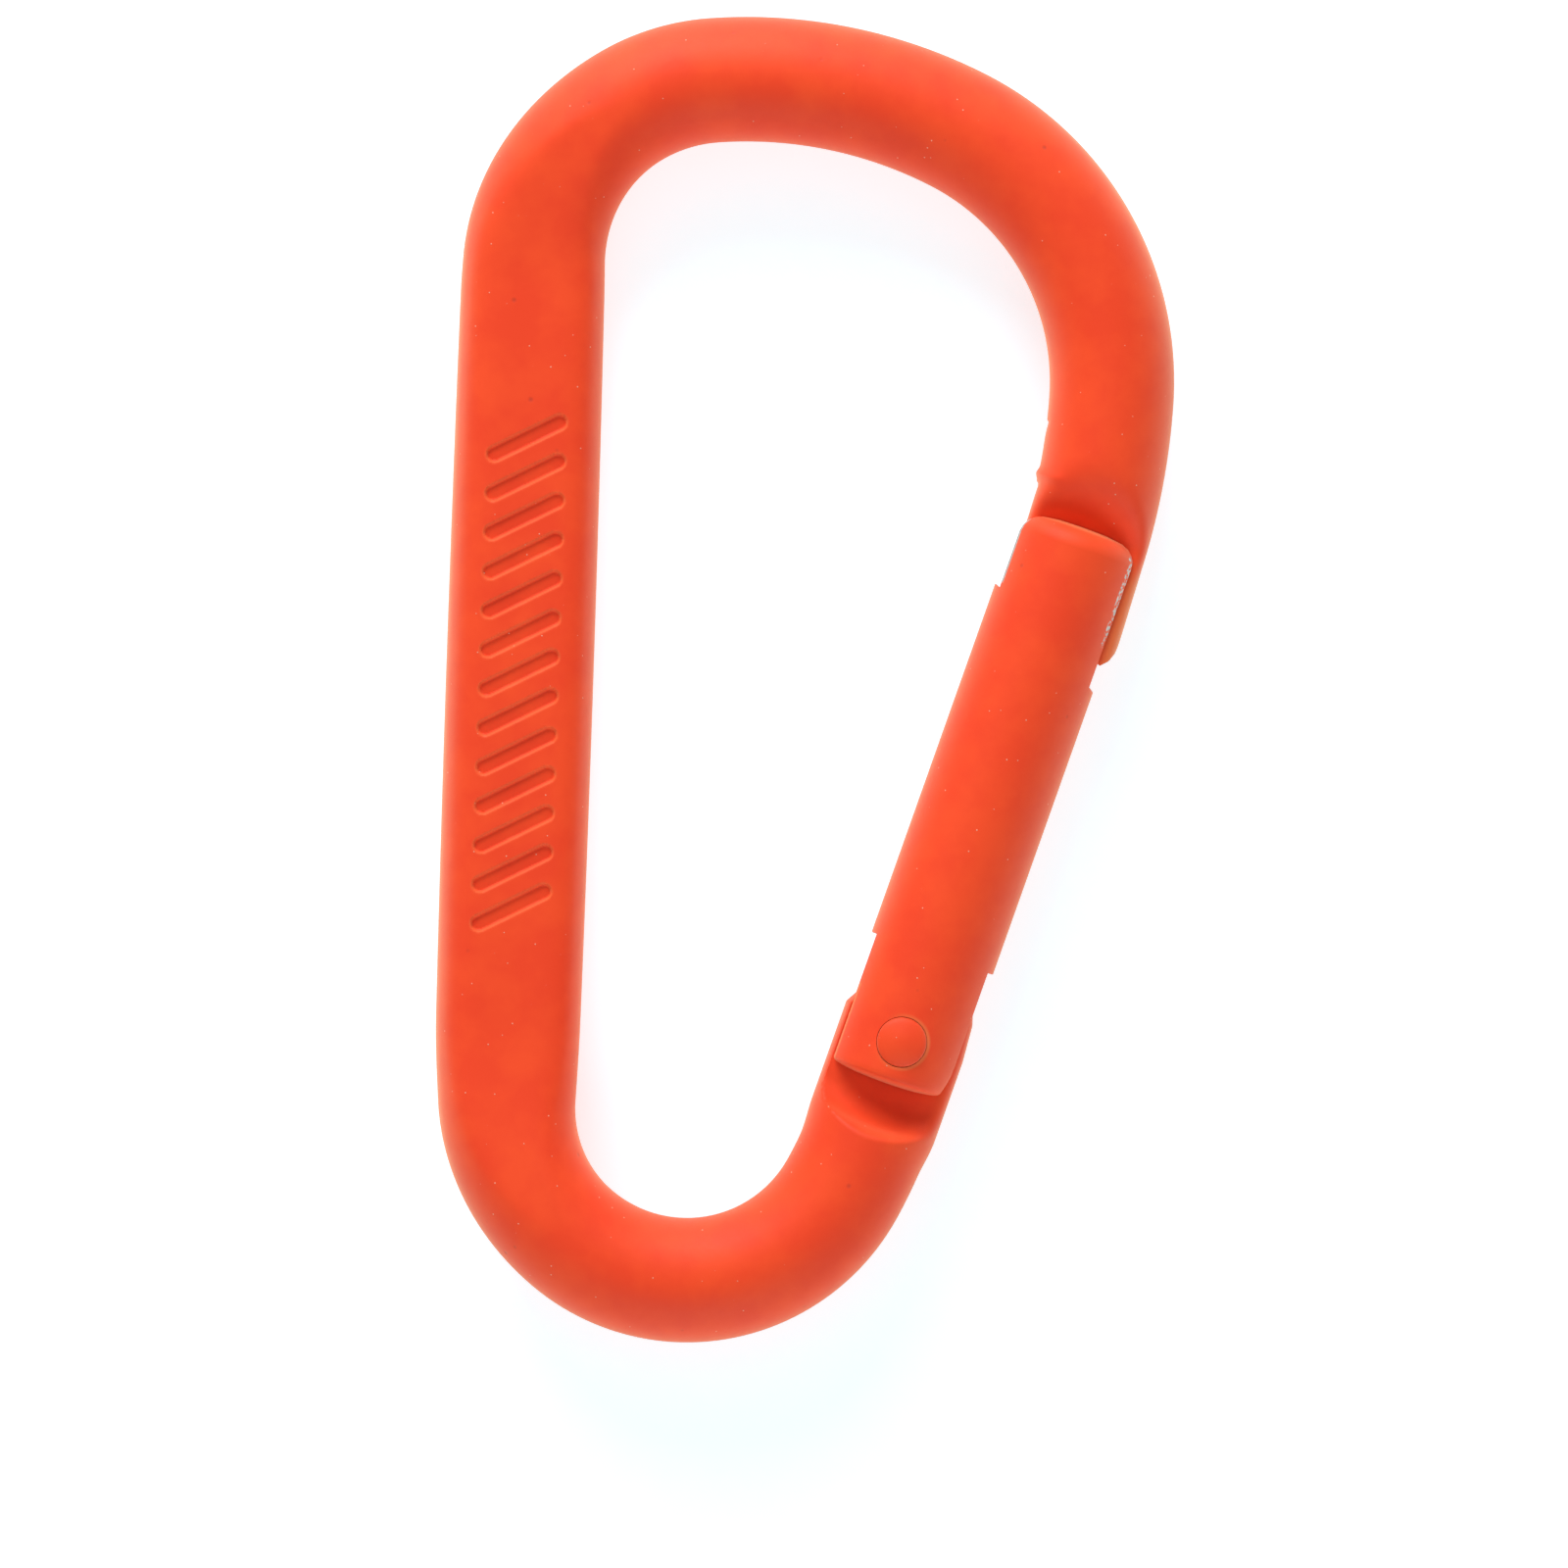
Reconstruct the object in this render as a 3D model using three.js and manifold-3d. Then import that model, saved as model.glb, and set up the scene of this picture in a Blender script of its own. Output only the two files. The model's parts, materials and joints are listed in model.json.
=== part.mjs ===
// Keyring carabiner, lying flat: a bar of round aluminium rod bent to a D, closed by a gate on a riveted hinge.
// A plunger and a spring in a blind bore of the gate press on the hinge tongue and swing the gate shut.
//
// Millimetres, +Z up. The spine runs along +Y on the -X side and the gate is on the +X side. The origin is in the
// middle of the outline, and z = 0 is under the lower rivet head, which the carabiner lies on.
import * as THREE from 'three';
import { mergeVertices } from 'three/addons/utils/BufferGeometryUtils.js';
import Module from 'manifold-3d';

const wasm = await Module();
wasm.setup();

// ---------------------------------------------------------------------------------------------------------------
// Driving dimensions
// ---------------------------------------------------------------------------------------------------------------

const barRadius = 3.775;
const gateRadius = 3.88;

// The hinge pivot, and how far the gate's axis leans from +Y towards +X.
const pivot = new THREE.Vector2(6.57, -21.37);
const gateLean = THREE.MathUtils.degToRad(17.6);

// The spine is pressed between flat dies: thinner, wider, and a little further out than the round bar.
const pressedHalfThickness = 2.75;
const pressedWiden = 0.15;
const pressedBarrel = 0.034;
const pressedShift = 0.25;

// Both tongues are flat plates in the bar's mid-plane, and run in wider saw slots.
const tongueThickness = 2.7;
const slotWidth = 3.1;

// The hinge rivet, and how far its domed heads stand on their flat spot faces.
const rivetRadius = 1.2;
const rivetHeadRadius = 1.49;
const rivetHeadSeat = 3.62;
const rivetHeadRim = 0.1;
const rivetHeadDome = 0.55;

// The blind bore in the gate, which starts at the floor of the hinge slot.
const hingeSlotFloor = 5.6;
const boreRadius = 1.3;
const boreEnd = 20;

// The height of the mid-plane that every piece is symmetric about.
const midHeight = rivetHeadSeat + rivetHeadRim + rivetHeadDome;

// ---------------------------------------------------------------------------------------------------------------
// Solids and the gate's own frame
// ---------------------------------------------------------------------------------------------------------------

// A closed three.js geometry as a manifold solid, for cutting and joining.
function solidOf(geometry) {
  const bare = geometry.clone();
  bare.deleteAttribute('normal');
  bare.deleteAttribute('uv');
  const merged = mergeVertices(bare);
  const vertProperties = new Float32Array(merged.attributes.position.array);
  const triVerts = new Uint32Array(merged.index.array);
  return new wasm.Manifold(new wasm.Mesh({ numProp: 3, vertProperties, triVerts }));
}

function geometryOf(solid) {
  const { vertProperties, triVerts } = solid.getMesh();
  const geometry = new THREE.BufferGeometry();
  geometry.setAttribute('position', new THREE.BufferAttribute(vertProperties, 3));
  geometry.setIndex(new THREE.BufferAttribute(triVerts, 1));
  geometry.computeVertexNormals();
  return geometry;
}

// In the gate's frame the pivot is the origin, X points across the gate, away from the spine, Y along the gate to
// the nose, and Z is up from the mid-plane.
const gateToObject = new THREE.Matrix4()
  .makeTranslation(pivot.x, pivot.y, midHeight)
  .multiply(new THREE.Matrix4().makeRotationZ(-gateLean));

// A plate with the given outline across and along the gate, centred on the mid-plane.
function plate(outline, thickness, curveSegments = 6) {
  const geometry = new THREE.ExtrudeGeometry(outline, { depth: thickness, bevelEnabled: false, curveSegments });
  return geometry.translate(0, 0, -thickness / 2);
}

// A round pin or drill along Z, centred on the mid-plane and the pivot.
function pinAlongZ(radius, length, sides = 24) {
  return new THREE.CylinderGeometry(radius, radius, length, sides).rotateX(Math.PI / 2);
}

// ---------------------------------------------------------------------------------------------------------------
// The bent bar
// ---------------------------------------------------------------------------------------------------------------

// A flat line of straight stretches, which have a length, and right-hand bends, which have a radius and a turn.
class BentLine extends THREE.Curve {
  constructor(start, heading, stretches) {
    super();
    this.start = start;
    this.heading = heading;
    this.stretches = stretches;
  }

  static lengthOf(stretch) {
    return stretch.radius ? stretch.radius * stretch.turn : stretch.length;
  }

  // The place reached after a distance along the line, and the heading there.
  walk(distance) {
    let left = distance;
    let heading = this.heading;
    const place = this.start.clone();
    for (const stretch of this.stretches) {
      const step = Math.min(left, BentLine.lengthOf(stretch));
      if (stretch.radius) {
        const before = new THREE.Vector3(Math.sin(heading), -Math.cos(heading), 0);
        heading -= step / stretch.radius;
        const after = new THREE.Vector3(Math.sin(heading), -Math.cos(heading), 0);
        place.addScaledVector(before.sub(after), stretch.radius);
      } else {
        place.addScaledVector(new THREE.Vector3(Math.cos(heading), Math.sin(heading), 0), step);
      }
      left -= step;
    }
    return { place, heading };
  }

  get total() {
    return this.stretches.reduce((sum, stretch) => sum + BentLine.lengthOf(stretch), 0);
  }

  getPoint(t, target = new THREE.Vector3()) {
    return target.copy(this.walk(t * this.total).place);
  }
}

const bend = (radius, degrees) => ({ radius, turn: THREE.MathUtils.degToRad(degrees) });

// From inside the hinge tongue, round the small end, up the spine, and round the wide end to the nose tongue.
const tailInTongue = 3;
const tail = { length: 2 };
const smallEnd = [bend(28, 9.4), bend(10.69, 153)];
const spine = { length: 50.3 };
const wideEnd = [bend(11.4, 84), bend(28.1, 31), bend(17, 67.2), bend(38.7, 13)];
const barLine = new BentLine(
  new THREE.Vector3(0, -tailInTongue, 0).applyMatrix4(gateToObject),
  Math.PI * 1.5 - gateLean,
  [tail, ...smallEnd, spine, ...wideEnd],
);

const beforeSpine = tail.length + smallEnd.reduce((sum, stretch) => sum + BentLine.lengthOf(stretch), 0);
const spineFoot = barLine.walk(beforeSpine).place;
const spineHead = barLine.walk(beforeSpine + spine.length).place;

// The two ends of the pressed stretch: where the straight ends, its bend's radius, and where the press fades out,
// from and to, as distances along the bar past the end of the straight.
const pressEnds = [
  { straightEnd: spineFoot.y, side: -1, radius: smallEnd[1].radius, fade: [-5, 9.5] },
  { straightEnd: spineHead.y, side: 1, radius: wideEnd[0].radius, fade: [-2, 11.5] },
];
const spineMiddle = (spineFoot.y + spineHead.y) / 2;

// Moves one point of the round bar to where the press leaves it.
function press(point) {
  const end = pressEnds[point.y > spineMiddle ? 1 : 0];
  const past = (point.y - end.straightEnd) * end.side;
  const middle = new THREE.Vector2(spineFoot.x, point.y);
  const inward = new THREE.Vector2(1, 0);
  let station = past;
  if (past > 0) {
    const centre = new THREE.Vector2(spineFoot.x + end.radius, end.straightEnd);
    inward.set(centre.x - point.x, centre.y - point.y).normalize();
    middle.copy(centre).addScaledVector(inward, -end.radius);
    station = end.radius * Math.atan2(past, centre.x - point.x);
  }
  const pressed = 1 - THREE.MathUtils.smoothstep(station, ...end.fade);
  const offset = new THREE.Vector2(point.x, point.y).sub(middle).dot(inward);
  const fromMiddle = (2 * (point.y - spineMiddle)) / spine.length;
  const widen = pressedWiden + pressedBarrel * Math.max(0, 1 - fromMiddle ** 2);
  middle.addScaledVector(inward, offset * (1 + widen * pressed) - pressedShift * pressed);
  const limit = THREE.MathUtils.lerp(barRadius, pressedHalfThickness, pressed);
  const height = THREE.MathUtils.clamp(point.z - midHeight, -limit, limit);
  return point.set(middle.x, middle.y, midHeight + height);
}

function bentBar() {
  const sides = 24;
  const stepLength = 2;
  const section = Array.from({ length: sides }, (_, i) => {
    const angle = (2 * Math.PI * i) / sides;
    return new THREE.Vector2(barRadius * Math.cos(angle), barRadius * Math.sin(angle));
  });
  const steps = Math.round(barLine.total / stepLength);
  const bar = new THREE.ExtrudeGeometry(new THREE.Shape(section), { steps, extrudePath: barLine });
  const { position } = bar.attributes;
  const point = new THREE.Vector3();
  const pressLimit = spineFoot.x + wideEnd[0].radius;
  for (let i = 0; i < position.count; i++) {
    point.fromBufferAttribute(position, i);
    if (point.x < pressLimit) press(point);
    position.setXYZ(i, point.x, point.y, point.z);
  }
  return solidOf(bar);
}

// ---------------------------------------------------------------------------------------------------------------
// The tongues on the bar's ends
// ---------------------------------------------------------------------------------------------------------------

// What a round-cornered cutter takes off above a tongue: flat over the tongue, then a quarter round up to a wall.
// side is the way the wall lies along the gate: -1 at the hinge and 1 at the nose.
function scoop({ flatEnd, reach, fillet, side }) {
  const floor = tongueThickness / 2;
  const top = barRadius * 1.5;
  const width = barRadius * 4;
  const profile = new THREE.Shape();
  profile.moveTo(reach, floor);
  profile.lineTo(flatEnd, floor);
  profile.absarc(flatEnd, floor + fillet, fillet, -Math.PI / 2, side > 0 ? 0 : -Math.PI, side < 0);
  profile.lineTo(flatEnd + side * fillet, top);
  profile.lineTo(reach, top);
  const geometry = new THREE.ExtrudeGeometry(profile, { depth: width, bevelEnabled: false, curveSegments: 8 });
  const across = new THREE.Vector3(1, 0, 0);
  const along = new THREE.Vector3(0, 1, 0);
  const up = new THREE.Vector3(0, 0, 1);
  return geometry.translate(0, 0, -width / 2).applyMatrix4(new THREE.Matrix4().makeBasis(along, up, across));
}

const hingeScoop = { flatEnd: -4.34, reach: 6, fillet: 1.6, side: -1 };
const noseScoop = { flatEnd: 33.4, reach: 22, fillet: 3.4, side: 1 };

// The hinge tongue is as wide as the bar. Its end is a flat that the plunger rests on, and its inner corner is cut
// away so that it lifts the plunger as the gate opens.
const hingeTongueEnd = 3.7;
function hingeTongueOutline() {
  const outline = new THREE.Shape();
  outline.moveTo(-3.5, -7.5);
  outline.lineTo(-3.93, -5);
  outline.lineTo(-3.93, 1.2);
  outline.quadraticCurveTo(-3.9, 1.7, -3.5, 1.95);
  outline.lineTo(-2.2, hingeTongueEnd);
  outline.lineTo(2.9, hingeTongueEnd);
  outline.quadraticCurveTo(3.6, 3.5, 3.75, 2.3);
  outline.lineTo(3.93, 0);
  outline.lineTo(3.93, -5);
  outline.lineTo(3.4, -7.5);
  return outline;
}

// The nose tongue swells a little outwards, and its slanted end keeps just clear of the slot's slanted floor.
function noseTongueOutline() {
  const outline = new THREE.Shape();
  outline.moveTo(3.1, 38.5);
  outline.quadraticCurveTo(4.1, 34, 4.38, 28);
  outline.lineTo(4.38, 26.8);
  outline.quadraticCurveTo(4.38, 25.1, 3, 25.35);
  outline.lineTo(-3.42, 28);
  outline.lineTo(-3.42, 36);
  return outline;
}

// The strip that the trimming die takes off the inner side of the nose, up to a small burr past the tongue.
function noseTrimOutline() {
  const outline = new THREE.Shape();
  outline.moveTo(-6, 24);
  outline.lineTo(-3.42, 24);
  outline.lineTo(-3.42, 34.4);
  outline.lineTo(-3.7, 34.95);
  outline.lineTo(-3.6, 35.6);
  outline.lineTo(-4.1, 38.4);
  outline.lineTo(-6, 38.4);
  return outline;
}

const tongueHoleClearance = 0.07;

function frame() {
  const inPlace = (geometry) => solidOf(geometry.applyMatrix4(gateToObject));
  let solid = bentBar();
  solid = solid.subtract(inPlace(plate(noseTrimOutline(), barRadius * 3)));
  solid = solid.add(inPlace(plate(hingeTongueOutline(), tongueThickness)));
  solid = solid.add(inPlace(plate(noseTongueOutline(), tongueThickness)));
  for (const shape of [hingeScoop, noseScoop]) {
    solid = solid.subtract(inPlace(scoop(shape)));
    solid = solid.subtract(inPlace(scoop(shape).rotateY(Math.PI)));
  }
  solid = solid.subtract(inPlace(pinAlongZ(rivetRadius + tongueHoleClearance, tongueThickness * 2)));
  for (const flute of gripFlutes()) solid = solid.subtract(flute);
  return geometryOf(solid);
}

// A row of plain slanted flutes pressed into the upper flat of the spine.
const fluteCount = 13;
const flutePitch = 2.35;
const fluteLength = 4.9;
const fluteWidth = 0.9;
const fluteSlant = THREE.MathUtils.degToRad(28);
const fluteDepth = 0.25;

function gripFlutes() {
  const round = fluteWidth / 2;
  const reach = fluteLength / 2 / Math.cos(fluteSlant) - round;
  const outline = new THREE.Shape();
  outline.absarc(reach, 0, round, -Math.PI / 2, Math.PI / 2, false);
  outline.absarc(-reach, 0, round, Math.PI / 2, -Math.PI / 2, false);
  const top = midHeight + pressedHalfThickness;
  return Array.from({ length: fluteCount }, (_, i) => {
    const y = (i - (fluteCount - 1) / 2) * flutePitch;
    const flute = plate(outline, fluteDepth * 2, 3).rotateZ(fluteSlant);
    return solidOf(flute.translate(spineFoot.x - pressedShift, y, top));
  });
}

// ---------------------------------------------------------------------------------------------------------------
// The gate and what it carries, in the gate's frame
// ---------------------------------------------------------------------------------------------------------------

// Half of the gate's outline, turned about its axis: crowned ends with rounded corners.
function gateProfile() {
  const hingeEnd = -2.7;
  const noseEnd = 32.8;
  const profile = new THREE.Path();
  profile.moveTo(0, hingeEnd);
  profile.quadraticCurveTo(1.8, hingeEnd, 3.2, -2.46);
  profile.quadraticCurveTo(3.62, -2.36, gateRadius, -1.5);
  profile.lineTo(gateRadius, 31.4);
  profile.quadraticCurveTo(3.55, 32.38, 3, 32.6);
  profile.quadraticCurveTo(1.7, noseEnd, 0, noseEnd);
  return profile.getPoints(4);
}

// The nose slot runs out past the end of the gate. Its floor slants, so that the gate can't swing outwards past
// the tongue: it is nearest the nose on the side towards the spine.
function noseSlotOutline() {
  const innerFloor = new THREE.Vector2(-3.7, 27.8);
  const outerFloor = new THREE.Vector2(3.7, 23.75);
  const pastEnd = 36;
  const pastSide = 0.25;
  const left = innerFloor.clone().lerp(outerFloor, -pastSide);
  const right = innerFloor.clone().lerp(outerFloor, 1 + pastSide);
  return new THREE.Shape([left, right, new THREE.Vector2(right.x, pastEnd), new THREE.Vector2(left.x, pastEnd)]);
}

const earHoleClearance = 0.05;
const spotFaceRadius = 1.7;
const spotFaceClearance = 0.05;

function gate() {
  const hingeSlotLength = 10;
  const hingeSlot = new THREE.BoxGeometry(gateRadius * 3, hingeSlotLength, slotWidth);
  hingeSlot.translate(0, hingeSlotFloor - hingeSlotLength / 2, 0);
  const boreStart = hingeSlotFloor - 1;
  const bore = new THREE.CylinderGeometry(boreRadius, boreRadius, boreEnd - boreStart, 24);
  bore.translate(0, (boreEnd + boreStart) / 2, 0);
  const cutters = [
    hingeSlot,
    plate(noseSlotOutline(), slotWidth),
    bore,
    pinAlongZ(rivetRadius + earHoleClearance, gateRadius * 3),
  ];
  for (const side of [-1, 1]) {
    const depth = gateRadius;
    const face = side * (rivetHeadSeat - spotFaceClearance + depth / 2);
    cutters.push(pinAlongZ(spotFaceRadius, depth).translate(0, 0, face));
  }
  const rod = solidOf(new THREE.LatheGeometry(gateProfile(), 32));
  return geometryOf(cutters.reduce((solid, cutter) => solid.subtract(solidOf(cutter)), rod));
}

// The rivet's half profile from the middle of one dome to the middle of the other.
function hingeRivet() {
  const domeSteps = 5;
  const sphere = (rivetHeadRadius ** 2 + rivetHeadDome ** 2) / (2 * rivetHeadDome);
  const rimAngle = Math.asin(rivetHeadRadius / sphere);
  const upper = [
    new THREE.Vector2(rivetRadius, rivetHeadSeat),
    new THREE.Vector2(rivetHeadRadius, rivetHeadSeat),
  ];
  for (let i = 0; i <= domeSteps; i++) {
    const angle = rimAngle * (1 - i / domeSteps);
    const height = midHeight - sphere * (1 - Math.cos(angle));
    upper.push(new THREE.Vector2(sphere * Math.sin(angle), height));
  }
  const lower = upper.map(({ x, y }) => new THREE.Vector2(x, -y)).reverse();
  return new THREE.LatheGeometry([...lower, ...upper], 24).rotateX(Math.PI / 2);
}

// The plunger: a blunt nose that bears on the hinge tongue, a body that slides in the bore, and a thin tail that
// keeps the spring straight.
const plungerTip = hingeTongueEnd + 0.15;
const plungerShoulder = 8;
const plungerTailEnd = 11.6;
const plungerRadius = 1.2;
const plungerTailRadius = 0.6;

function plunger() {
  const noseChamfer = 0.3;
  const tailChamfer = 0.15;
  const profile = [
    [0, plungerTip],
    [plungerRadius - noseChamfer, plungerTip],
    [plungerRadius, plungerTip + noseChamfer],
    [plungerRadius, plungerShoulder],
    [plungerTailRadius, plungerShoulder],
    [plungerTailRadius, plungerTailEnd - tailChamfer],
    [plungerTailRadius - tailChamfer, plungerTailEnd],
    [0, plungerTailEnd],
  ];
  return new THREE.LatheGeometry(profile.map(([x, y]) => new THREE.Vector2(x, y)), 20);
}

// The spring's wire: open turns in the middle, and turns that nearly touch at each end.
const springWireRadius = 0.18;
const springCoilRadius = 0.9;
const springTurns = 13;
const springEndTurns = 1.5;

class SpringLine extends THREE.Curve {
  getPoint(t, target = new THREE.Vector3()) {
    const endPitch = springWireRadius * 2.3;
    const seatGap = springWireRadius + 0.05;
    const low = plungerShoulder + seatGap;
    const high = boreEnd - seatGap;
    const openTurns = springTurns - springEndTurns * 2;
    const openPitch = (high - low - springEndTurns * 2 * endPitch) / openTurns;
    const turn = t * springTurns;
    const first = Math.min(turn, springEndTurns);
    const open = THREE.MathUtils.clamp(turn - springEndTurns, 0, openTurns);
    const last = Math.max(0, turn - springEndTurns - openTurns);
    const angle = turn * 2 * Math.PI;
    const along = low + (first + last) * endPitch + open * openPitch;
    return target.set(springCoilRadius * Math.cos(angle), along, springCoilRadius * Math.sin(angle));
  }
}

function gateSpring() {
  const sides = 5;
  const stepsPerTurn = 11;
  const section = Array.from({ length: sides }, (_, i) => {
    const angle = (2 * Math.PI * i) / sides;
    return new THREE.Vector2(springWireRadius * Math.cos(angle), springWireRadius * Math.sin(angle));
  });
  const steps = springTurns * stepsPerTurn;
  return new THREE.ExtrudeGeometry(new THREE.Shape(section), { steps, extrudePath: new SpringLine() });
}

// ---------------------------------------------------------------------------------------------------------------
// Materials and the assembly
// ---------------------------------------------------------------------------------------------------------------

const orangeCoating = () => new THREE.MeshStandardMaterial({ color: 0xee4e2c, roughness: 0.65, metalness: 0 });
const brightSteel = () => new THREE.MeshStandardMaterial({ color: 0xb9bbbd, roughness: 0.3, metalness: 1 });
const springSteel = () => new THREE.MeshStandardMaterial({ color: 0x8f9093, roughness: 0.35, metalness: 1 });

function piece(name, geometry, material) {
  const mesh = new THREE.Mesh(geometry, material);
  mesh.name = name;
  return mesh;
}

const gateAssembly = new THREE.Group();
gateAssembly.position.set(pivot.x, pivot.y, midHeight);
gateAssembly.rotation.z = -gateLean;
gateAssembly.add(
  piece('gate', gate(), orangeCoating()),
  piece('hinge_rivet', hingeRivet(), orangeCoating()),
  piece('plunger', plunger(), brightSteel()),
  piece('gate_spring', gateSpring(), springSteel()),
);

const carabiner = new THREE.Group();
carabiner.add(piece('frame', frame(), orangeCoating()), gateAssembly);

export default carabiner;
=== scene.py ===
"""A keyring carabiner of bent aluminium bar with a sprung, riveted gate, powder coated in orange.

Pieces are modelled in millimetres and settled into the frame, which is in metres: the spine runs along +Y on
the -X side, the gate is on the +X side, and the carabiner lies on z = 0.
"""
import json
import math

import bpy
from mathutils import Matrix, Vector


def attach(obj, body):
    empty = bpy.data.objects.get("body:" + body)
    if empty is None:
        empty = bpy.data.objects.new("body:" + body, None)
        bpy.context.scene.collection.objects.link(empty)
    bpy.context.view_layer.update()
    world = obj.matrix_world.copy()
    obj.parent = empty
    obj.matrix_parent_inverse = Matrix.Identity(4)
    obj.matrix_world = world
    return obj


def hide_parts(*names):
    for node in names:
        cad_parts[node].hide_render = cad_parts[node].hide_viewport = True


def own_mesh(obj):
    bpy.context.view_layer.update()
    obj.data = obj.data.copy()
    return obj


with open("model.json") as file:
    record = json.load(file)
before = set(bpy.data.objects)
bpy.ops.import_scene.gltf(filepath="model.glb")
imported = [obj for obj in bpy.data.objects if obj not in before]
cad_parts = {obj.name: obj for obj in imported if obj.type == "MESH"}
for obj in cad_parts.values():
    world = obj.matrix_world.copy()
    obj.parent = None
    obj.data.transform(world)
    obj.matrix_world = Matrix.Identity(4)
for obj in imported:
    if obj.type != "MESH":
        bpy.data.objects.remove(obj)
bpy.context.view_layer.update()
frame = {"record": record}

# --------------------------------------------------------------------------------------------------------
# The bent bar. One length of round aluminium rod, bent to a D in a jig, its spine pressed flat between two
# dies and each end milled to a flat tongue: one for the gate's rivet, and one that the gate's nose shuts on.
# --------------------------------------------------------------------------------------------------------

MM = 0.001
joints = {joint["name"]: joint for joint in frame["record"]["behaviour"]["joints"]}
pivot = Vector(joints["gate_hinge"]["pos_m"]) / MM
along_gate = Vector(joints["plunger_slide"]["axis"])
gate_lean = math.atan2(along_gate.x, along_gate.y)
# The gate's own frame: X across the gate, away from the spine, Y along it to the nose, and Z up from the
# mid-plane.
gate_frame = Matrix.Translation(pivot) @ Matrix.Rotation(-gate_lean, 4, "Z")
to_gate_frame = gate_frame.inverted()

BAR_RADIUS = 3.755
BAR_SIDES = 112
HINGE_TONGUE_END = 3.7
SMALL_END_RADIUS = 10.69
WIDE_END_RADIUS = 11.4
MERGE_DISTANCE = 0.001
# Each stretch in turn: the bend's radius, or None where straight; its turn in degrees, or its length where
# straight; and the gap between rings.
STRETCHES = {
    "hinge tongue": (None, HINGE_TONGUE_END + 5, 0.12),
    "bend after the hinge": (28, 9.4, 0.12),
    "small end": (SMALL_END_RADIUS, 153, 0.4),
    "spine": (None, 50.3, 0.25),
    "wide end's inner corner": (WIDE_END_RADIUS, 84, 0.4),
    "wide end's top": (28.1, 31, 0.4),
    "wide end's outer corner": (17, 67.2, 0.4),
    "bend before the nose": (38.7, 13, 0.15),
    "nose tongue": (None, 6.85, 0.15),
}


def add_circle(name, radius, sides, location, rotation):
    """A ring of edges to sweep a piece from, in edit mode with nothing else selected."""
    bpy.ops.object.select_all(action="DESELECT")
    bpy.ops.mesh.primitive_circle_add(vertices=sides, radius=radius, location=location, rotation=rotation)
    piece = bpy.context.object
    piece.name = name
    bpy.ops.object.transform_apply(location=True, rotation=True, scale=True)
    bpy.ops.object.mode_set(mode="EDIT")
    bpy.ops.mesh.select_all(action="SELECT")
    return piece


def close_up():
    """Closes a swept piece's ends, points its faces outwards and leaves edit mode."""
    bpy.ops.mesh.select_all(action="SELECT")
    bpy.ops.mesh.fill_holes(sides=0)
    bpy.ops.mesh.normals_make_consistent(inside=False)
    bpy.ops.object.mode_set(mode="OBJECT")


def across_heading(heading):
    """The level direction to the right of a heading."""
    return Vector((math.sin(heading), -math.cos(heading), 0))


bar_start = gate_frame @ Vector((0, HINGE_TONGUE_END, 0))
bar = add_circle("bent_bar", BAR_RADIUS, BAR_SIDES, bar_start, (math.pi / 2, 0, -gate_lean))
place, heading = bar_start, math.radians(270) - gate_lean
stretch_ends = {}
for stretch, (radius, amount, ring_gap) in STRETCHES.items():
    if radius is None:
        rings = round(amount / ring_gap)
        step = Vector((math.cos(heading), math.sin(heading), 0)) * (amount / rings)
        for _ in range(rings):
            bpy.ops.mesh.extrude_edges_move(TRANSFORM_OT_translate={"value": step})
        place = place + step * rings
    else:
        turn = math.radians(amount)
        centre = place + across_heading(heading) * radius
        rings = round(turn * radius / ring_gap)
        bpy.ops.mesh.spin(steps=rings, angle=turn, center=centre, axis=(0, 0, 1))
        heading -= turn
        place = centre - across_heading(heading) * radius
    stretch_ends[stretch] = place
bpy.ops.mesh.select_all(action="SELECT")
bpy.ops.mesh.remove_doubles(threshold=MERGE_DISTANCE)
close_up()

# The press leaves the spine thinner, a little wider and a little further out, and fades out in both bends.
PRESSED_HALF_THICKNESS = 2.75
PRESS_EDGE = 0.9
LEAST_EDGE = 1e-4
PRESS_WIDEN = 0.15
PRESS_BARREL = 0.034
PRESS_SHIFT = 0.25
spine_foot, spine_head = stretch_ends["small end"], stretch_ends["spine"]
spine_middle = (spine_foot.y + spine_head.y) / 2
# At the spine's foot and head: where the straight ends, the bend's radius, and where the press starts and
# stops fading, measured along the bar past the end of the straight.
PRESS_ENDS = {
    -1: (spine_foot.y, SMALL_END_RADIUS, -5.0, 9.5),
    1: (spine_head.y, WIDE_END_RADIUS, -2.0, 11.5),
}


def smooth_step(value, low, high):
    """0 up to the low value and 1 from the high one, with a smooth rise between them."""
    share = min(1.0, max(0.0, (value - low) / (high - low)))
    return share * share * (3 - 2 * share)


def soft_min(a, b, blend):
    """The lesser of two heights, with the corner between them rounded over about the blend's width."""
    share = min(1.0, max(0.0, 0.5 + 0.5 * (b - a) / blend))
    return b + (a - b) * share - blend * share * (1 - share)


def limit_height(height, limit, blend):
    """A height above or below the mid-plane, held softly within a limit."""
    return math.copysign(soft_min(abs(height), limit, blend), height)


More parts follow.
